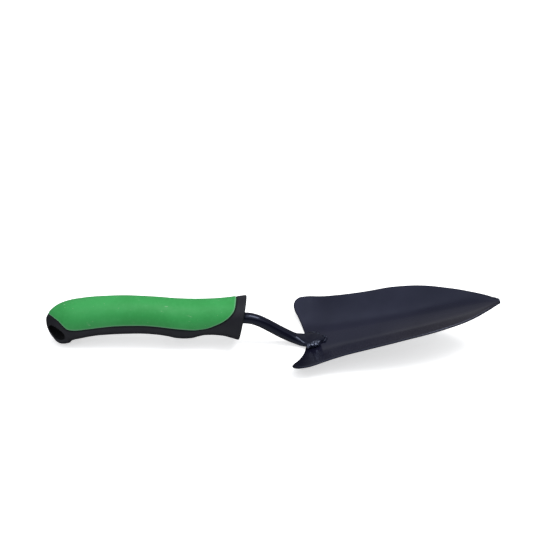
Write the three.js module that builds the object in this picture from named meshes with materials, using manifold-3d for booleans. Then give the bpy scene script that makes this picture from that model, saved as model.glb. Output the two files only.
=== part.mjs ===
// Hand trowel lying at rest on its butt and on the heel of its blade.
// Millimetres, +Z up, +X from the butt of the handle to the tip of the blade, +Y to the left.
import * as THREE from 'three';
import { LoftGeometry } from 'three/addons/geometries/LoftGeometry.js';
import { mergeVertices } from 'three/addons/utils/BufferGeometryUtils.js';
import Module from 'manifold-3d';

const wasm = await Module();
wasm.setup();
const { Manifold, Mesh } = wasm;

// ---- driving dimensions ------------------------------------------------------------------
const GAP = 0.3;               // clearance between pieces that touch
const MIDDLE = 0.28;           // slides the finished tool so that its length is centred on x = 0
const X_RIM = -20.1;           // centre of the collar's front face
const RIM_LEAN = 0.185;        // the collar's face leans forward at the top (10.5 degrees)
const GRIP_POWER = 2.15;       // grip section: slightly squarer than an ellipse
const SKIN = 2.6;              // thickness of the soft black skin over the hard body
const PROUD = 0.25;            // the green top stands this far above the black skin
const ROD_R = 4;               // radius of the round bar of the shank
const ROD_Z = 21.9;            // height of the tang inside the handle
const SHEET = 1.5;             // blade sheet
const X_HEEL = 25;             // middle of the notch in the blade's rear edge
const X_TIP = 159;
const HOLE = { x: -151.8, z: 12.1, a: 6.5, b: 5.2, tilt: -0.35 };

// Grip side view: x, height of the top line; x, height of the bottom line; x, half width.
const TOP = [[-160.2, 17.6], [-159.9, 19.4], [-158.8, 21.8], [-157.5, 23.8], [-155.8, 25.7],
  [-152.8, 28.2], [-150.3, 29.5], [-145, 31.5], [-136.5, 33.3], [-121.4, 35.5], [-101.4, 36.6],
  [-81.6, 35.9], [-67.5, 34.7], [-56.8, 34.5], [-47.6, 34.9], [-34.8, 35.9], [-24.9, 37.1],
  [-17, 38.6]];
const BOTTOM = [[-160.2, 14.6], [-159.9, 12.2], [-158.8, 8.3], [-157.5, 5.4], [-155.8, 3],
  [-152.8, -0.2], [-150.3, -1], [-147.5, -0.7], [-145.2, 0], [-143.2, 0.7], [-142.2, 2.5],
  [-136.5, 4.6], [-121.4, 7.9], [-101.4, 9.5], [-91.5, 9.8], [-81.6, 9.2], [-73, 8],
  [-67.5, 6.6], [-61.8, 6.2], [-56, 6.7], [-51.8, 8.1], [-47.6, 9.2], [-41.9, 9.6],
  [-34.8, 9.3], [-29.2, 8.1], [-24.2, 6.5]];
const WIDTH = [[-160.2, 0.7], [-159.9, 1.8], [-158.8, 3.6], [-157.5, 5], [-155.8, 6.6],
  [-152.8, 9.5], [-150.3, 11.2], [-147.5, 12.3], [-145, 13], [-136.5, 13.5], [-121.4, 13.1],
  [-101.4, 12.8], [-91.5, 12.6], [-81.6, 12.6], [-65, 13.2], [-56.8, 13], [-47.6, 12.2],
  [-41.9, 12.1], [-34.8, 12.6], [-29.2, 13.5], [-24.9, 14.4], [X_RIM, 14.8]];
// Line where the green top meets the black skin, in side view, rear to front.
const SEAM = [[-158.6, 22.9], [-154.5, 24.1], [-150.3, 23.6], [-146, 20.8], [-142.7, 18.2],
  [-139.3, 17.8], [-129.4, 19], [-119.4, 20.5], [-109.5, 21.8], [-99.7, 22.3], [-89.9, 22.4],
  [-80.1, 21.8], [-70.3, 20.8], [-60.5, 19.9], [-52.6, 19.4], [-45.8, 20.3], [-37.8, 23.9],
  [-30.9, 28.5], [-26.9, 32.5], [-24.7, 36], [-24.1, 39.5]];

// Shank: x, z, half width, half thickness, from the spade end of the tang to the nose.
const SHANK = [[-112, ROD_Z, 4.6, 2], [-110.5, ROD_Z, 5.6, 2.4], [-101, ROD_Z, 5.6, 2.4],
  [-94, ROD_Z, ROD_R, ROD_R], [-60, ROD_Z, ROD_R, ROD_R], [-26, ROD_Z, ROD_R, ROD_R],
  [-19, ROD_Z, ROD_R, ROD_R], [-15.7, 21.7, ROD_R, ROD_R], [-11.2, 20.6, ROD_R, ROD_R],
  [-6.6, 18.5, ROD_R, ROD_R], [-2.1, 15.8, ROD_R, ROD_R], [2.4, 12.9, ROD_R, ROD_R],
  [6.9, 10.1, ROD_R, ROD_R], [11.5, 7.5, 4, 3.9], [16, 5.2, 4.2, 3.7], [20, 3.9, 5, 3.1],
  [22, 3.5, 5.7, 2.6], [24, 3.3, 6.4, 2.2], [27, 3.6, 7.6, 2], [29.5, 3.95, 7.4, 1.8],
  [32, 4.35, 6.2, 1.65], [34, 4.65, 4.9, 1.45], [36, 4.9, 3.2, 1.1], [37.5, 4.95, 1.7, 0.75],
  [38.3, 5, 0.7, 0.5]];

// Blade: height of the valley line, height of the side edges, and half width along x.
const VALLEY = [[10, -2.5], [25, 1.34], [45, 6.3], [70, 12.8], [100, 21.3], [130, 30.7],
  [150, 37.3], [160, 40.5]];
const EDGE = [[10, 10.4], [23, 12.2], [33, 14.1], [42.9, 16.8], [52.7, 19.4], [62.6, 21.9],
  [72.4, 24.6], [82.3, 27.5], [92.1, 29.9], [101.9, 31.9], [111.8, 33.5], [121.6, 34.8],
  [131.4, 36.1], [141.2, 37.6], [151, 39.7], [160, 41.3]];
const HALF = [[22, 42], [25, 42], [28.1, 41.6], [33, 40.1], [37.9, 38.6], [42.9, 37.4],
  [52.7, 35.6], [62.6, 34.5], [72.4, 33.7], [82.3, 33.1], [92.1, 31.8], [101.9, 30.1],
  [111.8, 27.6], [121.6, 24.1], [131.4, 20.1], [141.2, 14.7], [151, 7.8], [154.5, 4.9],
  [157, 3.1], [158.1, 2], [158.55, 1], [X_TIP, 0]];
// Rear edge of the blade, from the middle of the notch round the ear to the shoulder.
const REAR = [[X_HEEL, 0], [24.8, 4], [23.9, 10], [21.9, 17.5], [18.9, 25.8], [16.2, 32],
  [15.3, 36], [15.9, 38.6], [17.3, 40.4], [19.2, 41.5], [22, 42]];

// ---- helpers -----------------------------------------------------------------------------
// Smooth curve through (x, value) rows that never overshoots between them.
function curve(rows) {
  const x = rows.map((r) => r[0]), y = rows.map((r) => r[1]), n = x.length;
  const d = x.slice(1).map((v, i) => (y[i + 1] - y[i]) / (v - x[i]));
  const m = y.map((_, i) => {
    if (i === 0 || i === n - 1) return d[i === 0 ? 0 : n - 2];
    return d[i - 1] * d[i] <= 0 ? 0 : 2 * d[i - 1] * d[i] / (d[i - 1] + d[i]);
  });
  return (v) => {
    let i = 0;
    while (i < n - 2 && v > x[i + 1]) i++;
    const h = x[i + 1] - x[i], t = Math.min(1, Math.max(0, (v - x[i]) / h));
    const a = t * t, b = a * t;
    return y[i] * (2 * b - 3 * a + 1) + y[i + 1] * (3 * a - 2 * b)
      + h * (m[i] * (b - 2 * a + t) + m[i + 1] * (b - a));
  };
}

const lerp = THREE.MathUtils.lerp;
const smooth = THREE.MathUtils.smoothstep;
const pow = (v, p) => Math.sign(v) * Math.abs(v) ** p;

// Closed solid from equal rings of points; flat ends are capped, pinched ends close themselves.
function loft(rings, capped = true) {
  const g = new LoftGeometry(rings, { closed: true, capStart: capped, capEnd: capped });
  return solidOf(g);
}

// Joins the coincident points of a closed surface and makes a solid of it.
function solidOf(surface) {
  const g = new THREE.BufferGeometry(), tri = [];
  g.setAttribute('position', surface.getAttribute('position'));
  g.setIndex(surface.index);
  const w = mergeVertices(g, 1e-4);
  for (let i = 0; i < w.index.count; i += 3) {
    const [a, b, c] = [0, 1, 2].map((k) => w.index.getX(i + k));
    if (a !== b && b !== c && c !== a) tri.push(a, b, c);
  }
  return new Manifold(new Mesh({ numProp: 3, triVerts: new Uint32Array(tri),
    vertProperties: new Float32Array(w.getAttribute('position').array) }));
}

// Solid prism across the tool from a side-view outline of (x, z) points.
function acrossPrism(points, half) {
  const shape = new THREE.Shape(points.map(([x, z]) => new THREE.Vector2(x, z)));
  const g = new THREE.ExtrudeGeometry(shape, { depth: 2 * half, bevelEnabled: false });
  g.rotateX(Math.PI / 2).translate(0, half, 0);
  g.setIndex(Array.from({ length: g.getAttribute('position').count }, (_, i) => i));
  return solidOf(g);
}

// ---- handle ------------------------------------------------------------------------------
const topLine = curve(TOP), bottomLine = curve(BOTTOM), halfWidth = curve(WIDTH);
const lean = (x) => RIM_LEAN * smooth(x, -70, -28);

// One ring of the grip at x, shrunk by inset; rounds gives the lip at the collar's rim.
function gripRing(x, inset, count = 40) {
  const k = lean(x), up = topLine(x + 15 * k), down = bottomLine(x - 15 * k);
  const zc = (up + down) / 2, rz = (up - down) / 2 - inset, ry = halfWidth(x) - inset;
  return Array.from({ length: count }, (_, i) => {
    const a = 2 * Math.PI * i / count;
    const y = ry * pow(Math.cos(a), 2 / GRIP_POWER), z = rz * pow(Math.sin(a), 2 / GRIP_POWER);
    return new THREE.Vector3(x + k * z, y, zc + z);
  });
}

const GRIP_X = [-160.2, -159.9, -159.4, -158.8, -157.5, -155.8, -153.8, -151.5, -149, -146.4,
  -144.4, -143.4, -142.5, -141, -137, -131, -124, -116, -108, -100, -92, -84, -77, -71.5,
  -68, -65, -61, -57, -53.5, -50.5, -47, -42, -37, -33, -29.5, -26.5, -24, -22];
const outer = (grow) => {
  const rings = GRIP_X.map((x) => gripRing(x, -grow));
  for (const [back, cut] of [[0.9, 0], [0.3, 0.35], [0, 1.2]]) {
    rings.push(gripRing(X_RIM - back, cut - grow));
  }
  return loft(rings);
};

const coreX = [-142.5, -141.5, -137, -128, -118, -108, -98, -88, -78, -70, -62, -55, -48, -41,
  -34, -28, -25, -24];
const core = (grow) => loft(coreX.map((x, i) => {
  const end = i === 0 || i === coreX.length - 1 ? 1.2 : 0;
  return gripRing(x + (i === 0 ? -grow : i === coreX.length - 1 ? grow : 0), SKIN - grow + end, 28);
}));

// Everything above the seam; the line can be moved down (grow > 0) or up (grow < 0).
function aboveSeam(grow) {
  const line = SEAM.map(([x, z], i) => {
    const a = SEAM[Math.max(0, i - 1)], b = SEAM[Math.min(SEAM.length - 1, i + 1)];
    const len = Math.hypot(b[0] - a[0], b[1] - a[1]);
    return [x + grow * (b[1] - a[1]) / len, z - grow * (b[0] - a[0]) / len];
  });
  const first = line[0], last = line[line.length - 1];
  return acrossPrism([...line, [last[0] + 0.2, 60], [-175, 60], [-175, first[1]]], 30);
}

function hangHole() {
  const n = 28;
  return acrossPrism(Array.from({ length: n }, (_, i) => {
    const t = 2 * Math.PI * i / n, u = HOLE.a * Math.cos(t), v = HOLE.b * Math.sin(t);
    const c = Math.cos(HOLE.tilt), s = Math.sin(HOLE.tilt);
    return [HOLE.x + u * c - v * s, HOLE.z + u * s + v * c];
  }), 25);
}

// ---- blade -------------------------------------------------------------------------------
const valley = curve(VALLEY), edge = curve(EDGE), half = curve(HALF);
const rearX = curve(REAR.map(([x, y]) => [y, x]));
const FLAT = 0.16, ROUND = 0.34;   // share of the half width that is flat, and how soft the V is
const fold = (q) => {
  const v = Math.max(0, q - FLAT);
  const f = (s) => Math.sqrt(s * s + ROUND * ROUND) - ROUND;
  return f(v) / f(1 - FLAT);
};
const bladeZ = (x, y) => {
  const w = x < 25 ? 42 : Math.max(half(x), 1);
  const zv = valley(x);
  return zv + (edge(x) - zv) * fold(Math.min(1.03, Math.abs(y) / w));
};

// Point of the sheet at plan position (x, y), drop = 0 on the upper face, 1 on the lower.
function sheetPoint(x, y, drop, grow) {
  const e = 0.05;
  const gx = (bladeZ(x + e, y) - bladeZ(x - e, y)) / (2 * e);
  const gy = (bladeZ(x, y + e) - bladeZ(x, y - e)) / (2 * e);
  const n = new THREE.Vector3(-gx, -gy, 1).normalize();
  return new THREE.Vector3(x, y, bladeZ(x, y)).addScaledVector(n, grow - drop * (SHEET + 2 * grow));
}

// Ring across the blade: the upper face left to right, then the lower face back again.
function bladeRing(x, rearShare, thick, grow) {
  const w = half(x), top = [], low = [], n = 22;
  for (let i = 0; i <= n; i++) {
    const ang = Math.PI / 2 * (1 - 2 * i / n), t = Math.sin(ang) * 0.6 + (1 - 2 * i / n) * 0.4;
    const rim = 1 - Math.abs(t), q = Math.max(-1, Math.min(1, t));
    const ry = q * 42, y = q * w;
    const px = x + (rearX(Math.abs(ry)) - 22) * rearShare;
    const f = thick * (i === 0 || i === n ? 0 : Math.min(1, 0.75 + rim * 6));
    top.push(sheetPoint(px, y, 0.5 - f / 2, grow));
    if (i > 0 && i < n) low.push(sheetPoint(px, y, 0.5 + f / 2, grow));
  }
  return [...top, ...low.reverse()];
}

function bladeSolid(grow = 0) {
  const stations = [[22, 0], [22.25, 0.7], [22.8, 1]];
  for (let i = 1; i <= 30; i++) stations.push([lerp(22.8, 156.4, i / 30), 1]);
  stations.push([157.6, 1], [158.3, 0.9], [158.87, 0.7], [X_TIP - 0.02, 0.4], [X_TIP, 0]);
  return loft(stations.map(([x, thick]) =>
    bladeRing(x, 1 - smooth(x, 22, 75), thick, grow)), false);
}

// ---- shank and welds ---------------------------------------------------------------------
function barSolid(rows, count, grow = 0) {
  const zLine = curve(rows.map((r) => [r[0], r[1]]));
  const wLine = curve(rows.map((r) => [r[0], r[2]])), tLine = curve(rows.map((r) => [r[0], r[3]]));
  const xs = [];
  for (let i = 0; i < rows.length - 1; i++) {
    const from = rows[i][0], to = rows[i + 1][0], parts = from >= -20 && from < 33 ? 2 : 1;
    for (let k = 0; k < parts; k++) xs.push(lerp(from, to, k / parts));
  }
  xs.push(rows[rows.length - 1][0]);
  return loft(xs.map((x, j) => {
    const slope = (zLine(x + 0.3) - zLine(x - 0.3)) / 0.6, len = Math.hypot(1, slope);
    const wy = wLine(x) + grow, wt = tLine(x) + grow;
    const power = 2 + 1.4 * smooth(wy / wt, 1.05, 2);
    const end = j === 0 ? -grow : j === xs.length - 1 ? grow : 0;
    return Array.from({ length: count }, (_, i) => {
      const a = 2 * Math.PI * i / count;
      const y = wy * pow(Math.cos(a), 2 / power), t = wt * pow(Math.sin(a), 2 / power);
      return new THREE.Vector3(x + end - t * slope / len, y, zLine(x) + t / len);
    });
  }));
}

// Lumpy bead through (x, y) plan points lying on the blade.
function bead(points, radius, rise, phase) {
  const path = new THREE.CatmullRomCurve3(points.map(([x, y]) =>
    new THREE.Vector3(x, y, bladeZ(x, y) + rise)));
  const n = 13, rings = [];
  for (let i = 0; i <= n; i++) {
    const s = i / n, p = path.getPoint(s), t = path.getTangent(s);
    const side = new THREE.Vector3(-t.y, t.x, 0).normalize(), up = t.clone().cross(side);
    const end = Math.sqrt(Math.max(0.06, 1 - (2 * s - 1) ** 6));
    const r = radius * end * (1 + 0.14 * Math.sin(s * 17 + phase));
    rings.push(Array.from({ length: 9 }, (_, k) => {
      const a = 2 * Math.PI * k / 9;
      return p.clone().addScaledVector(side, r * Math.cos(a)).addScaledVector(up, r * Math.sin(a));
    }));
  }
  return loft(rings);
}

// ---- pieces ------------------------------------------------------------------------------
const blade = bladeSolid();
const bladeRoom = bladeSolid(GAP);
const shank = barSolid(SHANK, 20).subtract(bladeRoom);
const shankRoom = barSolid(SHANK, 20, GAP);

const weldShape = (points, radius, rise, phase) =>
  bead(points, radius, rise, phase).subtract(bladeRoom).subtract(shankRoom);
const sideBead = [[24.6, 7.1], [26.8, 8.2], [29.3, 8.3], [32, 7.1], [34.4, 5.2]];
const toeBead = [[36.4, 3.7], [38.2, 2.2], [39, 0], [38.2, -2.2], [36.4, -3.7]];
const welds = {
  weld_right: weldShape(sideBead.map(([x, y]) => [x, -y]), 1.8, 1.2, 0.5),
  weld_left: weldShape(sideBead, 1.8, 1.2, 2.2),
  weld_toe: weldShape(toeBead, 1.25, 0.35, 1),
};

const greenBody = core(0).add(outer(PROUD).intersect(aboveSeam(-GAP / 2))).subtract(shankRoom);
const table = Manifold.cube([60, 60, 10], true).translate([-150, 0, -5]);
const blackGrip = outer(0).subtract(aboveSeam(GAP / 2)).subtract(core(GAP)).subtract(shankRoom)
  .subtract(hangHole()).subtract(table);

// ---- assembly ----------------------------------------------------------------------------
const group = new THREE.Group();
group.name = 'hand_trowel';
function add(name, solid, color, roughness, metalness) {
  const out = solid.translate([MIDDLE, 0, 0]).getMesh(), g = new THREE.BufferGeometry();
  g.setAttribute('position', new THREE.BufferAttribute(new Float32Array(out.vertProperties), 3));
  g.setIndex(new THREE.BufferAttribute(new Uint32Array(out.triVerts), 1));
  g.computeVertexNormals();
  const mesh = new THREE.Mesh(g, new THREE.MeshStandardMaterial({ color, roughness, metalness }));
  mesh.name = name;
  group.add(mesh);
}
add('blade', blade, 0x34363f, 0.45, 0.3);
add('shank', shank, 0x2e3038, 0.35, 0.4);
for (const [name, solid] of Object.entries(welds)) add(name, solid, 0x4a5060, 0.35, 0.5);
add('body_green', greenBody, 0x3d9c55, 0.6, 0);
add('grip_black', blackGrip, 0x2a2a30, 0.7, 0);

export default group;
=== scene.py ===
import bpy
import bmesh
import math
import numpy as np
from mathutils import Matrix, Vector, kdtree, noise


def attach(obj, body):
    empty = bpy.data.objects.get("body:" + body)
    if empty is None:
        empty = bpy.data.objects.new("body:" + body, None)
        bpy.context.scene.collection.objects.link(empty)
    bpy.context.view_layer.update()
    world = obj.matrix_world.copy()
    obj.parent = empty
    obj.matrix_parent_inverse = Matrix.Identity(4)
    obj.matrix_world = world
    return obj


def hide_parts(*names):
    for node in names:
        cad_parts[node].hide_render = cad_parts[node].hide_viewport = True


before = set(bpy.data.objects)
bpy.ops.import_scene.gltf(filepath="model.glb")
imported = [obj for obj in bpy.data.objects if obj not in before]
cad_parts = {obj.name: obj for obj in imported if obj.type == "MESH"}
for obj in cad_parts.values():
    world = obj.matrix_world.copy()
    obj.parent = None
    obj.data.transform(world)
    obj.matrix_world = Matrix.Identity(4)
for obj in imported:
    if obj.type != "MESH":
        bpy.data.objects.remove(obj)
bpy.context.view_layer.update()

# Hand trowel. The tables below are the tool's design curves in millimetres, +X from butt to
# tip, +Z up; MIDDLE slides them so that the tool's length is centred on x = 0.
MM, MIDDLE = 0.001, 0.28

# ---- camera -----------------------------------------------------------------------------
AZ, EL, DIST = math.radians(1.6), math.radians(33.8), 0.951
target = Vector((-0.00232, 0.061, 0.0221))
back = Vector((math.sin(AZ) * math.cos(EL), -math.cos(AZ) * math.cos(EL), math.sin(EL)))
cam = bpy.data.objects.new("camera", bpy.data.cameras.new("camera"))
cam.data.lens, cam.data.sensor_width = 85, 36
cam.data.clip_start, cam.data.clip_end = 0.02, 20
cam.location = target + back * DIST
cam.rotation_euler = back.to_track_quat("Z", "Y").to_euler()
bpy.context.scene.collection.objects.link(cam)
bpy.context.scene.camera = cam

# ---- curves -----------------------------------------------------------------------------


def curve(rows):
    """Smooth curve through (x, value) rows that never overshoots between them."""
    xs, ys = np.array(rows, float).T
    h = np.diff(xs)
    d = np.diff(ys) / h
    m = np.concatenate([[d[0]], np.where(d[:-1] * d[1:] <= 0, 0,
                        2 * d[:-1] * d[1:] / (d[:-1] + d[1:] + 1e-12)), [d[-1]]])

    def f(v):
        v = np.clip(np.asarray(v, float), xs[0], xs[-1])
        i = np.clip(np.searchsorted(xs, v) - 1, 0, len(xs) - 2)
        t = (v - xs[i]) / h[i]
        a, b = t * t, t ** 3
        return (ys[i] * (2 * b - 3 * a + 1) + ys[i + 1] * (3 * a - 2 * b)
                + h[i] * (m[i] * (b - 2 * a + t) + m[i + 1] * (b - a)))
    return f


def eased(rows, sigma, sharp_below=-1e9):
    """The same curve with its small corners eased over sigma, except at x below sharp_below."""
    f = curve(rows)
    lo, hi, step = rows[0][0], rows[-1][0], 0.1
    g = np.arange(lo - 6 * sigma, hi + 6 * sigma, step)
    y = f(g)
    y = np.where(g < lo, 2 * f(lo) - f(2 * lo - g), y)
    y = np.where(g > hi, 2 * f(hi) - f(2 * hi - g), y)
    k = np.exp(-0.5 * (np.arange(-4 * sigma, 4 * sigma + step, step) / sigma) ** 2)
    s = np.convolve(y, k / k.sum(), mode="same")

    def h(v):
        w = ramp(v, sharp_below, sharp_below + 6)
        return f(v) * (1 - w) + np.interp(v, g, s) * w
    return h


def ramp(v, a, b):
    t = np.clip((np.asarray(v, float) - a) / (b - a), 0, 1)
    return t * t * (3 - 2 * t)


def spow(v, p):
    return np.sign(v) * np.abs(v) ** p


# ---- mesh helpers -----------------------------------------------------------------------


def make(name, pts, faces, attrs=None, angle=45):
    """Object from millimetre points; attrs are per-point numbers that the materials read."""
    me = bpy.data.meshes.new(name)
    p = np.array(pts, float)
    p[:, 0] += MIDDLE
    me.from_pydata([tuple(q) for q in p * MM], [], faces)
    me.validate()
    for key, val in (attrs or {}).items():
        a = me.attributes.new(key, "FLOAT", "POINT")
        a.data.foreach_set("value", np.asarray(val, np.float32))
    ob = bpy.data.objects.new(name, me)
    bpy.context.scene.collection.objects.link(ob)
    smooth(ob, angle)
    return ob


def smooth(ob, angle):
    me = ob.data
    me.polygons.foreach_set("use_smooth", [True] * len(me.polygons))
    me.set_sharp_from_angle(angle=math.radians(angle))


def grid_faces(rows, cols, wrap=True, start=0):
    out = []
    for i in range(rows - 1):
        for j in range(cols if wrap else cols - 1):
            k = (j + 1) % cols
            a, b = start + i * cols, start + (i + 1) * cols
            out.append((a + j, a + k, b + k, b + j))
    return out


def outward(g):
    """Unit normals of a grid of points whose rows run along the tool and wrap round it."""
    da = np.roll(g, -1, 1) - np.roll(g, 1, 1)
    dx = np.gradient(g, axis=0)
    n = np.cross(da, dx)
    return n / (np.linalg.norm(n, axis=2, keepdims=True) + 1e-9)


def fbm(p, scale, octaves=3, seed=0.0):
    """Smooth noise at millimetre points, features about scale mm."""
    return np.array([noise.fractal(Vector(q) / scale + Vector((seed, -seed, seed)), 1, 2, octaves)
                     for q in p])


# ---- grip curves ------------------------------------------------------------------------
X_BUTT, X_RIM, RIM_LEAN, GRIP_POWER = -160.2, -20.1, 0.185, 2.15
ROD_R, ROD_Z = 4.0, 21.9
SOCKET_R = ROD_R + 0.33          # clearance hole for the bar in the collar
TOP = [[-160.2, 17.6], [-159.9, 19.4], [-158.8, 21.8], [-157.5, 23.8], [-155.8, 25.7],
       [-152.8, 28.2], [-150.3, 29.5], [-145, 31.5], [-136.5, 33.3], [-121.4, 35.5],
       [-101.4, 36.6], [-81.6, 35.9], [-67.5, 34.7], [-56.8, 34.5], [-47.6, 34.9],
       [-34.8, 35.9], [-24.9, 37.1], [-17, 38.6]]
BOTTOM = [[-160.2, 14.6], [-159.9, 12.2], [-158.8, 8.3], [-157.5, 5.4], [-155.8, 3],
          [-152.8, -0.2], [-150.3, -1], [-147.5, -0.7], [-145.2, 0], [-143.2, 0.7],
          [-142.2, 2.5], [-136.5, 4.6], [-121.4, 7.9], [-101.4, 9.5], [-91.5, 9.8],
          [-81.6, 9.2], [-73, 8], [-67.5, 6.6], [-61.8, 6.2], [-56, 6.7], [-51.8, 8.1],
          [-47.6, 9.2], [-41.9, 9.6], [-34.8, 9.3], [-29.2, 8.1], [-24.2, 6.5]]
WIDTH = [[-160.2, 0.7], [-159.9, 1.8], [-158.8, 3.6], [-157.5, 5], [-155.8, 6.6],
         [-152.8, 9.5], [-150.3, 11.2], [-147.5, 12.3], [-145, 13], [-136.5, 13.5],
         [-121.4, 13.1], [-101.4, 12.8], [-91.5, 12.6], [-81.6, 12.6], [-65, 13.2],
         [-56.8, 13], [-47.6, 12.2], [-41.9, 12.1], [-34.8, 12.6], [-29.2, 13.5],
         [-24.9, 14.4], [X_RIM, 14.8]]
SEAM = [[-158.6, 22.9], [-154.5, 24.1], [-150.3, 23.6], [-146, 20.8], [-142.7, 18.2],
        [-139.3, 17.8], [-129.4, 19], [-119.4, 20.5], [-109.5, 21.8], [-99.7, 22.3],
        [-89.9, 22.4], [-80.1, 21.8], [-70.3, 20.8], [-60.5, 19.9], [-52.6, 19.4],
        [-45.8, 20.3], [-37.8, 23.9], [-30.9, 28.5], [-26.9, 32.5], [-24.7, 36],
        [-24.1, 39.5]]
HOLE = dict(x=-151.8, z=12.1, a=6.5, b=5.2, tilt=-0.35)

top_line, bottom_line = eased(TOP, 1.2, -158), eased(BOTTOM, 0.5, -158)
half_width, seam_line = eased(WIDTH, 1.2, -158), eased(SEAM, 0.7, -158)


def section(x):
    """Lean, centre height, half height and half width of the grip at x."""
    k = RIM_LEAN * ramp(x, -70, -28)
    up, down = top_line(x + 15 * k), bottom_line(x - 15 * k)
    tip = np.sqrt(np.clip((np.asarray(x, float) - X_BUTT) / 0.25, 0.01, 1))
    return k, (up + down) / 2, (up - down) / 2 * tip, half_width(x) * tip


def grip_point(x, a, inset=0.0):
    k, zc, rz, ry = section(x)
    y = (ry - inset) * spow(np.cos(a), 2 / GRIP_POWER)
    z = (rz - inset) * spow(np.sin(a), 2 / GRIP_POWER)
    return np.stack(np.broadcast_arrays(x + k * z, y, zc + z), -1)


def seam_loop():
    """The seam on the grip's left side, rear to front, as (x, angle) pairs, evenly spaced."""
    X = np.concatenate([np.linspace(a[0], b[0], 80, endpoint=False)
                        for a, b in zip(SEAM[:-1], SEAM[1:])])
    Z, x = seam_line(X), X.copy()
    for _ in range(8):
        k, zc, rz, ry = section(x)
        x = X - k * (Z - zc)
    k, zc, rz, ry = section(x)
    w = (Z - zc) / rz
    keep = np.nonzero(np.abs(w) < 1)[0]
    keep = np.arange(keep[0], keep[-1] + 1)
    x, w = x[keep], np.clip(w[keep], -1, 1)
    a = np.arcsin(np.clip(spow(w, GRIP_POWER / 2), -1, 1))
    x, a = np.concatenate([[x[0]], x, [x[-1]]]), np.concatenate([[np.pi / 2], a, [np.pi / 2]])
    p = grip_point(x, a)
    s = np.concatenate([[0], np.cumsum(np.linalg.norm(np.diff(p, axis=0), axis=1))])
    t = np.linspace(0, s[-1], int(s[-1] / 0.4))
    return np.interp(t, s, x), np.interp(t, s, a)


lx, la = seam_loop()
loop_x, loop_a = np.concatenate([lx, lx[-2:0:-1]]), np.concatenate([la, np.pi - la[-2:0:-1]])
seam_pts = grip_point(loop_x, loop_a)
seam_tree = kdtree.KDTree(len(seam_pts))
for i, q in enumerate(seam_pts):
    seam_tree.insert(q, i)
seam_tree.balance()


def seam_distance(p):
    """Distance from the seam, positive on the green side, for each point."""
    d = np.array([seam_tree.find(q)[2] for q in p])
    inside = (p[:, 0] > SEAM[0][0]) & (p[:, 0] < SEAM[-1][0]) & (p[:, 2] > seam_line(p[:, 0]))
    return np.where(inside, d, -d)


# ---- black soft skin --------------------------------------------------------------------


def oval(n, grow=0.0):
    t = np.linspace(0, 2 * np.pi, n, endpoint=False)
    u, v = (HOLE["a"] + grow) * np.cos(t), (HOLE["b"] + grow) * np.sin(t)
    c, s = math.cos(HOLE["tilt"]), math.sin(HOLE["tilt"])
    return HOLE["x"] + u * c - v * s, HOLE["z"] + u * s + v * c


def hole_distance(p):
    """Rough distance outside the hanging hole's outline, in side view."""
    c, s = math.cos(HOLE["tilt"]), math.sin(HOLE["tilt"])
    dx, dz = p[:, 0] - HOLE["x"], p[:, 2] - HOLE["z"]
    u, v = dx * c + dz * s, -dx * s + dz * c
    q = np.hypot(u / HOLE["a"], v / HOLE["b"])
    return (q - 1) * np.hypot(u, v) / np.maximum(q, 1e-3)


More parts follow.
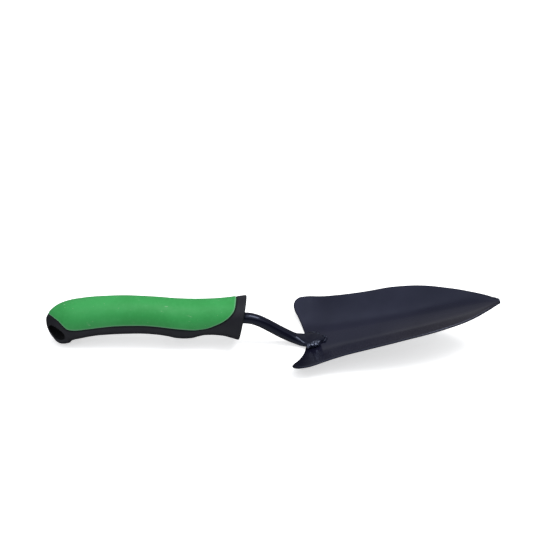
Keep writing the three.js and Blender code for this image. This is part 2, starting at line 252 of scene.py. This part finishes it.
def build_black():
    cols = 208
    a = np.linspace(0, 2 * np.pi, cols, endpoint=False)[None, :]
    xs = np.concatenate([X_BUTT + 14 * np.linspace(0, 1, 70) ** 2,
                         np.linspace(X_BUTT + 14, X_RIM - 1, 300)[1:]])
    g = grip_point(xs[:, None], a)
    n = outward(g)
    p, nn = g.reshape(-1, 3), n.reshape(-1, 3)
    d = seam_distance(p)
    drop = 0.6 * ramp(d, -1.5, -0.05) ** 1.5 + 1.0 * ramp(d, -0.12, 0.4)
    near = (p[:, 0] < -140) & (np.abs(p[:, 1]) > 2)
    hd = hole_distance(p)
    drop += np.where(near, 0.75 * np.exp(-(np.maximum(hd, 0) / 0.8) ** 2), 0)
    # parting line of the mould along the belly
    belly = np.exp(-(p[:, 1] / 0.22) ** 2) * (nn[:, 2] < -0.5) * ramp(p[:, 0], -140, -136)
    drop -= 0.1 * belly
    q = p - nn * drop[:, None]
    q[:, 2] = np.maximum(q[:, 2], 0.0)
    rings = [r for r in q.reshape(len(xs), cols, 3)]
    k, zc, rz, ry = section(X_RIM)
    for t in np.radians([22, 45, 67, 90]):
        rings.append(grip_point(np.full(cols, X_RIM - 1 + math.sin(t)), a[0], 1 - math.cos(t)))
    face = rings[-1]

    def circle(r, x):
        y, z = r * np.cos(a[0]), ROD_Z + r * np.sin(a[0])
        return np.stack([x + k * (z - zc), y, z], -1)
    for t in (0.25, 0.5, 0.72, 0.88):
        rings.append(face * (1 - t) + circle(4.9, X_RIM) * t)
    for r, x in ((4.9, 0), (4.62, -0.1), (4.4, -0.35), (SOCKET_R, -0.8), (SOCKET_R, -9)):
        rings.append(circle(r, X_RIM + x))
    pts = np.concatenate(rings)
    faces = grid_faces(len(rings), cols)
    faces.append(tuple(range(cols))[::-1])
    faces.append(tuple(range(len(pts) - cols, len(pts))))
    ob = make("soft_skin", pts, faces)
    # the oval hanging hole, cut straight across
    ox, oz = oval(96)
    m = len(ox)
    cut = make("hole_cutter", np.concatenate([np.stack([ox, np.full(m, y), oz], -1)
               for y in (-25.0, 25.0)]),
               [f[::-1] for f in grid_faces(2, m)] + [tuple(range(m)),
                                                      tuple(range(m, 2 * m))[::-1]])
    mod = ob.modifiers.new("hole", "BOOLEAN")
    mod.operation, mod.solver, mod.object = "DIFFERENCE", "MANIFOLD", cut
    dg = bpy.context.evaluated_depsgraph_get()
    me = bpy.data.meshes.new_from_object(ob.evaluated_get(dg))
    ob.modifiers.clear()
    ob.data = me
    bpy.data.objects.remove(cut)
    smooth(ob, 38)
    # how near each point is to the seam or the lip, which take painted shade, and which points
    # line the hole, which take painted shade and full roughness
    co = np.array([v.co for v in me.vertices]) / MM - np.array([MIDDLE, 0, 0])
    lip = ramp(co[:, 0] + section(X_RIM)[0] * (ROD_Z - co[:, 2]), X_RIM - 1.1, X_RIM - 0.5)
    for key, val in (("seam_and_lip_shade", np.maximum(np.exp(-(seam_distance(co) / 0.9) ** 2), 0.8 * lip)),
                     ("bore", (np.abs(hole_distance(co)) < 0.06) & (co[:, 0] < -140))):
        at = me.attributes.new(key, "FLOAT", "POINT")
        at.data.foreach_set("value", val.astype(np.float32))
    return ob


# ---- green body -------------------------------------------------------------------------


def build_green():
    m = len(loop_x)
    lo, hi = loop_x.min(), loop_x.max()
    cx = -150 + (loop_x - lo) / (hi - lo) * 119
    reach = np.hypot(loop_x - cx, 13.5 * (loop_a - np.pi / 2))
    rim = [(0.16, -1.3), (0.16, -0.45), (0.19, -0.12), (0.27, 0.08), (0.42, 0.2), (0.65, 0.26),
           (1.0, 0.27)]
    rings = []
    shares = [(1 - d / reach, h) for d, h in rim]
    inner = 1 - 1.0 / reach
    shares += [(inner * t, 0.27 - 0.02 * (1 - t)) for t in np.linspace(1, 0, 30)[1:]]
    for r, h in shares:
        x, a = cx + (loop_x - cx) * r, np.pi / 2 + (loop_a - np.pi / 2) * r
        e = 1e-3
        p = grip_point(x, a)
        n = np.cross(grip_point(x, a + e) - p, grip_point(x + e, a) - p)
        n /= np.linalg.norm(n, axis=1, keepdims=True) + 1e-12
        rings.append(p + n * h)
    pts = np.concatenate(rings)
    faces = grid_faces(len(rings), m)
    # rim marks the band along the seam that takes a painted highlight
    ob = make("hard_body", pts, faces,
              {"rim": 1 - ramp(np.concatenate([(1 - s) * reach for s, _ in shares]), 0.6, 1.2)})
    bm = bmesh.new()
    bm.from_mesh(ob.data)
    bmesh.ops.remove_doubles(bm, verts=bm.verts, dist=2e-6)
    bmesh.ops.recalc_face_normals(bm, faces=bm.faces)
    bm.to_mesh(ob.data)
    bm.free()
    smooth(ob, 60)
    return ob


# ---- blade ------------------------------------------------------------------------------
SHEET, X_TIP, FLAT, ROUND = 1.5, 159.25, 0.16, 0.34
WIDEST, EDGE_R = 42, 0.75        # half width at the rear corners, width of the rounded edge
X_CORNER, X_FLARE = 22, 75       # the rear edge's curve fades out between these
VALLEY = [[10, -2.5], [25, 1.34], [45, 6.3], [70, 12.8], [100, 21.3], [130, 30.7],
          [150, 37.3], [160, 40.5]]
EDGE = [[10, 10.4], [23, 12.2], [33, 14.1], [42.9, 16.8], [52.7, 19.4], [62.6, 21.9],
        [72.4, 24.6], [82.3, 27.5], [92.1, 29.9], [101.9, 31.9], [111.8, 33.5],
        [121.6, 34.8], [131.4, 36.1], [141.2, 37.6], [151, 39.65], [160, 41.1]]
HALF = [[22, 42], [25, 42], [28.1, 41.6], [33, 40.1], [37.9, 38.6], [42.9, 37.4],
        [52.7, 35.6], [62.6, 34.5], [72.4, 33.7], [82.3, 33.1], [92.1, 31.8], [101.9, 30.1],
        [111.8, 27.6], [121.6, 24.1], [131.4, 20.1], [141.2, 14.7], [151, 7.8], [154.5, 4.9],
        [157, 3.1], [158.2, 2.1], [158.9, 1.1], [X_TIP, 0]]
REAR = [[25, 0], [24.8, 4], [23.9, 10], [21.9, 17.5], [18.9, 25.8], [16.2, 32], [15.3, 36],
        [15.9, 38.6], [17.3, 40.4], [19.2, 41.5], [22, 42]]
valley, edge_z = eased(VALLEY, 4), eased(EDGE, 3)
half = curve(HALF)
half_soft = eased(HALF[:-4], 1.5)
rear_x = curve([[y, x] for x, y in REAR])


def fold(q):
    v = np.maximum(0, q - FLAT)
    f = lambda s: np.sqrt(s * s + ROUND * ROUND) - ROUND
    return f(v) / f(1 - FLAT)


def blade_z(x, y):
    w = np.where(x < 25, WIDEST, np.maximum(half_soft(x), 1.5))
    zv = valley(x)
    return zv + (edge_z(x) - zv) * fold(np.minimum(1.03, np.abs(y) / w))


def sheet_point(x, y, drop):
    """Point of the sheet at plan (x, y); drop is 0 on its upper face and 1 on its lower."""
    e = 0.1
    gx = (blade_z(x + e, y) - blade_z(x - e, y)) / (2 * e)
    gy = (blade_z(x, y + e) - blade_z(x, y - e)) / (2 * e)
    n = np.stack([-gx, -gy, np.ones_like(gx)], -1)
    n /= np.linalg.norm(n, axis=-1, keepdims=True)
    return np.stack([x, y, blade_z(x, y)], -1) - n * (drop * SHEET)[..., None]


def build_blade():
    # share of the half width, with points packed into the two rounded side edges
    t = np.linspace(1, -1, 150)
    t = 0.6 * np.sin(np.pi / 2 * t) + 0.4 * t
    rim = [1 - d / WIDEST for d in (EDGE_R, 0.5, 0.25, 0.08, 0)]
    t = np.concatenate([rim[::-1], t[np.abs(t) < 0.978], [-v for v in rim]])
    stations = [(22, 0), (22.06, 0.4), (22.2, 0.68), (22.45, 0.92), (22.8, 1)]
    stations += [(x, 1) for x in np.linspace(22.8, 156.6, 190)[1:]]
    stations += [(157.4, 1), (158.1, 1), (158.6, 0.85), (158.95, 0.6), (159.15, 0.3), (X_TIP, 0)]
    top, low, wear = [], [], []
    for x, thick in stations:
        w = float(half(x))
        share = 1 - ramp(x, X_CORNER, X_FLARE)
        ry, y = t * WIDEST, t * w
        px = x + (rear_x(np.abs(ry)) - X_CORNER) * share
        d = np.minimum(1, (1 - np.abs(t)) * WIDEST / EDGE_R)
        f = thick * np.sqrt(np.maximum(0, 1 - (1 - d) ** 2))
        top.append(sheet_point(px, y, 0.5 - f / 2))
        low.append(sheet_point(px, y, 0.5 + f / 2))
        side = (1 - np.abs(t)) * w
        wear.append(np.exp(-np.minimum(side, min(x - X_CORNER, 3 * (X_TIP - x))) / 0.9))
    cols = len(t)
    rings, tags = [], []
    for a, b, c in zip(top, low, wear):
        rings.append(np.concatenate([a, b[-2:0:-1]]))
        tags.append(np.concatenate([c, c[-2:0:-1]]))
    pts, tag = np.concatenate(rings), np.concatenate(tags)
    pts[:, 2] = np.maximum(pts[:, 2], 0.0)
    pts[:, 1] *= 0.9985          # keeps the rounded edge inside the plain solid's width
    return make("scoop_blade", pts, grid_faces(len(rings), 2 * cols - 2),
                {"edge": tag}, 60)


# ---- shank and welds --------------------------------------------------------------------
SHANK = [[-60, ROD_Z, 4, 4], [-26, ROD_Z, 4, 4], [-19, ROD_Z, 4, 4], [-15.7, 21.7, 4, 4],
         [-11.2, 20.6, 4, 4], [-6.6, 18.5, 4, 4], [-2.1, 15.8, 4, 4], [2.4, 12.9, 4, 4],
         [6.9, 10.1, 4, 4], [11.5, 7.5, 4, 3.9], [16, 5.2, 4.2, 3.7], [20, 3.9, 5, 3.1],
         [22, 3.5, 5.7, 2.6], [24, 3.3, 6.4, 2.2], [27, 3.6, 7.6, 2], [29.5, 3.95, 7.4, 1.8],
         [32, 4.35, 6.2, 1.65], [34, 4.65, 4.9, 1.45], [36, 4.9, 3.2, 1.1],
         [37.5, 4.95, 1.7, 0.75], [38.3, 5, 0.7, 0.5]]


def build_shank():
    zl = eased([[r[0], r[1]] for r in SHANK], 0.9)
    wl = eased([[r[0], r[2]] for r in SHANK], 0.5)
    tl = eased([[r[0], r[3]] for r in SHANK], 0.7)
    cols = 72
    a = np.linspace(0, 2 * np.pi, cols, endpoint=False)
    xs = np.concatenate([np.linspace(-30, 16, 120), np.linspace(16, 37.6, 90)[1:],
                         37.6 + 0.7 * np.sin(np.linspace(0, np.pi / 2, 8)[1:])])
    rings = []
    for x in xs:
        s = float(zl(x + 0.3) - zl(x - 0.3)) / 0.6
        c = math.hypot(1, s)
        tip = math.sqrt(max(0.0, 1 - max(0.0, (x - 37.6) / 0.7) ** 2)) if x > 37.6 else 1
        w, t = float(wl(x)) * max(tip, 0.05), float(tl(x)) * max(tip, 0.05)
        power = 2 + 1.4 * float(ramp(w / t, 1.05, 2))
        y, u = w * spow(np.cos(a), 2 / power), t * spow(np.sin(a), 2 / power)
        rings.append(np.stack([x - u * s / c, y, float(zl(x)) + u / c], -1))
    pts = np.concatenate(rings)
    flat = ramp(pts[:, 0], 17, 24)
    nz = fbm(pts, 3.2, 2)
    pts[:, 2] += nz * 0.16 * flat
    on = pts[:, 0] > 21
    pts[on, 2] = np.maximum(pts[on, 2], blade_z(pts[on, 0], pts[on, 1]) + 0.03)
    faces = grid_faces(len(xs), cols)
    faces += [tuple(range(cols))[::-1], tuple(range(len(pts) - cols, len(pts)))]
    return make("gooseneck_shank", pts, faces, None, 60)


def weld(name, path, radius, rise, beats, seed):
    """Lumpy bead along plan points on the blade, with overlapping ripples."""
    px, py = np.array(path, float).T
    s = np.concatenate([[0], np.cumsum(np.hypot(np.diff(px), np.diff(py)))])
    rows, cols = 110, 40
    t = np.linspace(0, s[-1], rows)
    fx, fy = curve(list(zip(s, px))), curve(list(zip(s, py)))
    x, y = fx(t), fy(t)
    c = np.stack([x, y, blade_z(x, y) + rise], -1)
    tan = np.gradient(c, axis=0)
    tan /= np.linalg.norm(tan, axis=1, keepdims=True)
    side = np.stack([-tan[:, 1], tan[:, 0], 0 * x], -1)
    up = np.cross(tan, side)
    u = t / s[-1]
    end = np.sqrt(np.maximum(0.002, 1 - np.abs(2 * u - 1) ** 5))
    phase = u * beats + 0.25 * np.sin(u * 9 + seed)
    ripple = 1 + 0.2 * (np.abs(np.sin(np.pi * phase)) - 0.6)
    a = np.linspace(0, 2 * np.pi, cols, endpoint=False)
    r = (radius * end * ripple)[:, None]
    p = (c[:, None] + side[:, None] * (r * np.cos(a))[..., None]
         + up[:, None] * (r * np.sin(a))[..., None]).reshape(-1, 3)
    nrm = p - np.repeat(c, cols, 0)
    nrm /= np.linalg.norm(nrm, axis=1, keepdims=True) + 1e-9
    lump = fbm(p, 2.2, 2, seed) * 0.6 + fbm(p, 0.9, 2, seed + 4) * 0.16
    p += nrm * (lump * radius * np.repeat(end, cols))[:, None]
    p[:, 2] = np.maximum(p[:, 2], blade_z(p[:, 0], p[:, 1]) - 0.1)
    faces = grid_faces(rows, cols) + [tuple(range(cols))[::-1],
                                      tuple(range(len(p) - cols, len(p)))]
    return make(name, p, faces, None, 70)


# ---- materials --------------------------------------------------------------------------


class Nodes:
    """Small helper for writing a node material."""

    def __init__(self, name, rough, spec=0.5, tint=(1, 1, 1)):
        m = bpy.data.materials.new(name)
        m.use_nodes = True
        self.mat, self.t = m, m.node_tree
        self.b = self.t.nodes["Principled BSDF"]
        for key, val in (("Roughness", rough), ("Specular IOR Level", spec),
                         ("Specular Tint", (*tint, 1))):
            self.b.inputs[key].default_value = val
        self.pos = self.add("ShaderNodeTexCoord").outputs["Object"]

    def add(self, kind, **props):
        n = self.t.nodes.new(kind)
        for k, v in props.items():
            setattr(n, k, v)
        return n

    def put(self, a, b):
        self.t.links.new(a, b)

    def stretch(self, scale, rot):
        n = self.add("ShaderNodeMapping")
        n.inputs["Scale"].default_value = scale
        n.inputs["Rotation"].default_value = rot
        self.put(self.pos, n.inputs["Vector"])
        return n.outputs["Vector"]

    def noise(self, size_mm, detail=3, rough=0.5, vec=None):
        n = self.add("ShaderNodeTexNoise")
        n.inputs["Scale"].default_value = 1000.0 / size_mm
        n.inputs["Detail"].default_value = detail
        n.inputs["Roughness"].default_value = rough
        self.put(vec if vec is not None else self.pos, n.inputs["Vector"])
        return n.outputs["Fac"]

    def cells(self, size_mm):
        n = self.add("ShaderNodeTexVoronoi")
        n.inputs["Scale"].default_value = 1000.0 / size_mm
        self.put(self.pos, n.inputs["Vector"])
        return n.outputs["Distance"]

    def attr(self, name):
        return self.add("ShaderNodeAttribute", attribute_name=name).outputs["Fac"]

    def level(self, val, lo, hi, out_lo=0.0, out_hi=1.0):
        n = self.add("ShaderNodeMapRange", clamp=True, interpolation_type="SMOOTHSTEP")
        for k, v in (("From Min", lo), ("From Max", hi), ("To Min", out_lo), ("To Max", out_hi)):
            n.inputs[k].default_value = v
        self.put(val, n.inputs["Value"])
        return n.outputs["Result"]

    def calc(self, op, a, b):
        n = self.add("ShaderNodeMath", operation=op)
        for i, v in enumerate((a, b)):
            if isinstance(v, (int, float)):
                n.inputs[i].default_value = v
            else:
                self.put(v, n.inputs[i])
        return n.outputs[0]

    def blend(self, fac, a, b):
        n = self.add("ShaderNodeMix", data_type="RGBA")
        for sock, v in ((n.inputs[0], fac), (n.inputs[6], a), (n.inputs[7], b)):
            if isinstance(v, (tuple, list)):
                sock.default_value = (*v, 1)
            else:
                self.put(v, sock)
        return n.outputs[2]

    def bump(self, height, strength, dist_mm, normal=None):
        n = self.add("ShaderNodeBump")
        n.inputs["Strength"].default_value = strength
        n.inputs["Distance"].default_value = dist_mm * MM
        self.put(height, n.inputs["Height"])
        if normal is not None:
            self.put(normal, n.inputs["Normal"])
        return n.outputs["Normal"]

    def done(self, color, rough, normal):
        for sock, v in (("Base Color", color), ("Roughness", rough), ("Normal", normal)):
            self.put(v, self.b.inputs[sock])
        return self.mat


def enamel(name, dark, light, chip, rough, wave_mm, wave, spec, lumpy=0.0):
    """Black stoving enamel: orange peel, slow waves of the sheet, dust; chip is the colour of
    rubbed edges, and only the blade has it and the painted reflection and shade on its two
    halves."""
    n = Nodes(name, rough, spec, (0.66, 0.74, 1.0))
    broad = n.noise(28, 2)
    base = n.blend(n.level(broad, 0.35, 0.65), dark, light)
    if chip:
        # painted reflection and shade: the right half is painted paler and greyer toward the tip
        # as a painted reflection and darker at its rear as painted shade; the left half is
        # painted a little darker toward the tip as painted shade
        split = n.add("ShaderNodeSeparateXYZ")
        n.put(n.pos, split.inputs[0])
        along = n.calc("ADD", split.outputs["X"], n.calc("MULTIPLY", broad, 0.03))
        right_half = n.level(split.outputs["Y"], -0.012, 0.01, 1, 0)
        painted_reflection_tip = n.calc("MULTIPLY", n.level(along, 0.07, 0.135), right_half)
        painted_shade_rear = n.calc("MULTIPLY", n.level(along, 0.03, 0.08, 0.8, 0), right_half)
        base = n.blend(painted_reflection_tip, base, (0.024, 0.0225, 0.03))
        base = n.blend(painted_shade_rear, base, (0.002, 0.002, 0.008))
        painted_shade_left_tip = n.calc("MULTIPLY", n.level(along, 0.09, 0.14), n.calc("SUBTRACT", 0.45, right_half))
        base = n.blend(painted_shade_left_tip, base, (0.002, 0.002, 0.008))
    dust = n.level(n.noise(0.7, 2, 0.7), 0.63, 0.74)
    cover = n.calc("MULTIPLY", dust, n.level(n.noise(14, 3), 0.45, 0.7, 0, 0.2))
    base = n.blend(cover, base, tuple(c * 1.6 + 0.008 for c in light))
    if chip:
        edge = n.attr("edge")
        worn = n.calc("MULTIPLY", n.level(edge, 0.45, 1.0),
                      n.level(n.noise(1.6, 4, 0.7), 0.5, 0.68, 0.1, 0.75))
        base = n.blend(worn, base, chip)
    r = n.level(n.noise(9, 4, 0.6), 0.3, 0.7, rough - 0.03, rough + 0.05)
    nrm = n.bump(n.noise(wave_mm, 2), wave, 1.0)
    nrm = n.bump(n.noise(1.6, 2), 0.03, 0.1, nrm)
    if lumpy:
        nrm = n.bump(n.noise(0.8, 4, 0.65), lumpy, 0.3, nrm)
    return n.done(base, r, nrm)


def green_plastic():
    n = Nodes("green_plastic", 0.5, 0.3)
    base = n.blend(n.level(n.noise(22, 3), 0.35, 0.65), (0.033, 0.32, 0.072),
                   (0.042, 0.36, 0.088))
    mott = n.level(n.noise(2.4, 4, 0.6), 0.45, 0.75, 0, 0.35)
    base = n.blend(mott, base, (0.06, 0.41, 0.115))
    # handling scuffs and fine pale scratches, mostly on the crown
    fine = n.noise(1.1, 2, 0.5, n.stretch((0.22, 1, 1), (0, 0, 0.5)))
    patch = n.level(n.noise(17, 2), 0.52, 0.68)
    scuff = n.calc("MULTIPLY", n.level(fine, 0.66, 0.73, 0, 0.55), patch)
    base = n.blend(scuff, base, (0.42, 0.62, 0.42))
    speck = n.calc("MULTIPLY", n.level(n.cells(2.6), 0.06, 0.1, 1, 0),
                   n.level(n.noise(11, 2), 0.5, 0.64, 0, 0.5))
    base = n.blend(speck, base, (0.5, 0.62, 0.45))
    # painted highlight: a paler, greyer green along the seam's rounded rim
    base = n.blend(n.calc("MULTIPLY", n.attr("rim"), 0.75), base, (0.19, 0.44, 0.25))
    r = n.level(n.noise(5, 4, 0.6), 0.3, 0.7, 0.42, 0.58)
    nrm = n.bump(n.noise(0.45, 2), 0.22, 0.06)
    nrm = n.bump(n.noise(6, 2), 0.15, 0.25, nrm)
    return n.done(base, r, nrm)


def black_rubber():
    n = Nodes("black_rubber", 0.55, 0.27, (0.9, 0.93, 1.0))
    base = n.blend(n.level(n.noise(16, 3), 0.35, 0.65), (0.011, 0.011, 0.0155),
                   (0.0155, 0.015, 0.0205))
    dusty = n.calc("MULTIPLY", n.level(n.noise(0.8, 3, 0.7), 0.56, 0.72),
                   n.level(n.noise(13, 2), 0.42, 0.7, 0, 0.3))
    base = n.blend(dusty, base, (0.04, 0.04, 0.046))
    # painted shade: near black in the groove along the seam and on the collar's front face past
    # the lip
    base = n.blend(n.calc("MULTIPLY", n.attr("seam_and_lip_shade"), 0.9), base, (0.001, 0.003, 0.002))
    # painted shade: the wall of the hanging hole is painted darker than the rest of the black
    base = n.blend(n.attr("bore"), base, (0.007, 0.007, 0.0085))
    r = n.level(n.noise(4, 4, 0.6), 0.3, 0.7, 0.46, 0.6)
    r = n.calc("MAXIMUM", r, n.attr("bore"))
    nrm = n.bump(n.noise(0.35, 2), 0.25, 0.05)
    nrm = n.bump(n.noise(5, 2), 0.12, 0.25, nrm)
    return n.done(base, r, nrm)


# ---- assembly ---------------------------------------------------------------------------


def place(ob, mat, *nodes):
    ob.data.materials.clear()
    ob.data.materials.append(mat)
    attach(ob, "root")
    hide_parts(*nodes)


blade_mat = enamel("blade_enamel", (0.009, 0.009, 0.0195), (0.012, 0.012, 0.0255),
                   (0.022, 0.025, 0.038), 0.21, 34, 0.1, 0.39)
shank_mat = enamel("shank_enamel", (0.0028, 0.003, 0.009), (0.004, 0.0043, 0.012), None,
                   0.13, 12, 0.1, 0.32)
WELD = (0.004, 0.0045, 0.012), (0.008, 0.009, 0.02)
weld_mat = enamel("weld_enamel", *WELD, None, 0.11, 3, 0.2, 1.0, 0.12)
weld_mat.node_tree.nodes["Principled BSDF"].inputs["IOR"].default_value = 1.7
calm_mat = enamel("weld_enamel_calm", *WELD, None, 0.26, 3, 0.2, 0.4, 0.12)
place(build_black(), black_rubber(), "grip_black")
place(build_green(), green_plastic(), "body_green")
place(build_blade(), blade_mat, "blade")
place(build_shank(), shank_mat, "shank")
right = [(24.8, -6.7), (26.8, -7.3), (29.3, -7.3), (32, -6.3), (34.6, -4.7)]
left = [(24.6, 7.1), (26.8, 8.2), (29.3, 8.3), (32, 7.1), (34.4, 5.2)]
toe = [(36.4, 3.7), (38.2, 2.2), (39, 0), (38.2, -2.2), (36.4, -3.7)]
place(weld("weld_bead_right", right, 1.95, 2.1, 3.6, 3.0), weld_mat, "weld_right")
place(weld("weld_bead_left", left, 1.5, 0.5, 4.6, 11.0), calm_mat, "weld_left")
place(weld("weld_bead_toe", toe, 1.15, 0.2, 3.5, 21.0), calm_mat, "weld_toe")

# ---- studio -----------------------------------------------------------------------------
fm = bpy.data.meshes.new("floor")
fm.from_pydata([(-4, -4, 0), (4, -4, 0), (4, 4, 0), (-4, 4, 0)], [], [(0, 1, 2, 3)])
floor = bpy.data.objects.new("floor", fm)
floor.location.z = -0.0002
bpy.context.scene.collection.objects.link(floor)
white = Nodes("floor_white", 0.8, 0.1)
white.b.inputs["Base Color"].default_value = (0.92, 0.92, 0.92, 1)
white.b.inputs["Emission Color"].default_value = (1, 1, 1, 1)
white.b.inputs["Emission Strength"].default_value = 0.6
fm.materials.append(white.mat)
floor.visible_glossy = floor.visible_diffuse = False


def lamp(name, at, to, size, radiance, color=(1, 1, 1)):
    """Rectangular soft box of an even brightness."""
    d = bpy.data.lights.new(name, "AREA")
    d.shape, d.size, d.size_y, d.color = "RECTANGLE", size[0], size[1], color
    d.energy = radiance * math.pi * size[0] * size[1]
    o = bpy.data.objects.new(name, d)
    o.location = at
    o.rotation_euler = (Vector(at) - Vector(to)).to_track_quat("Z", "Y").to_euler()
    bpy.context.scene.collection.objects.link(o)


lamp("soft_box", (0.52, -0.08, 1.45), (0, 0, 0), (0.75, 0.7), 8.0)
lamp("fill_card", (-0.56, 0.42, 1.34), (0.03, 0, 0.02), (0.3, 0.35), 0.6)
world = bpy.data.worlds.new("studio")
world.use_nodes = True
wt = world.node_tree
sky, split, span, side, pick = (wt.nodes.new(k) for k in (
    "ShaderNodeTexCoord", "ShaderNodeSeparateXYZ", "ShaderNodeMapRange", "ShaderNodeMapRange",
    "ShaderNodeMix"))
span.inputs["From Min"].default_value = -1
side.inputs["From Min"].default_value, side.inputs["From Max"].default_value = -0.2, 0.06
side.interpolation_type = "SMOOTHSTEP"
wt.links.new(sky.outputs["Generated"], split.inputs[0])
wt.links.new(split.outputs["Z"], span.inputs["Value"])
wt.links.new(split.outputs["Y"], side.inputs["Value"])
wt.links.new(side.outputs["Result"], pick.inputs[0])


def brightness(stops, socket):
    """Brightness of the room from straight down (0) to straight up (1)."""
    fade = wt.nodes.new("ShaderNodeValToRGB")
    e = fade.color_ramp.elements
    for i, (at, v) in enumerate([stops[0], stops[-1]]):
        e[i].position, e[i].color = at, (v, v, v, 1)
    for at, v in stops[1:-1]:
        e.new(at).color = (v, v, v, 1)
    wt.links.new(span.outputs["Result"], fade.inputs["Fac"])
    wt.links.new(fade.outputs["Color"], socket)


brightness([(0, 0.5), (0.06, 0.55), (0.2, 0.8), (0.36, 0.7), (0.54, 0.42), (0.66, 0.14),
            (0.72, 0.1), (0.78, 0.25), (0.84, 1.0), (0.9, 1.35), (1, 1.4)], pick.inputs[2])
brightness([(0, 0.02), (0.3, 0.02), (0.42, 0.04), (0.47, 0.12), (0.52, 0.34), (0.6, 0.4),
            (0.73, 0.44), (0.85, 0.42), (0.93, 0.5), (0.96, 0.75), (1, 1.3)], pick.inputs[3])
wt.links.new(pick.outputs[0], wt.nodes["Background"].inputs["Strength"])
wt.nodes["Background"].inputs["Color"].default_value = (0.95, 0.97, 1.0, 1)
bpy.context.scene.world = world
bpy.context.scene.view_settings.view_transform = "Standard"
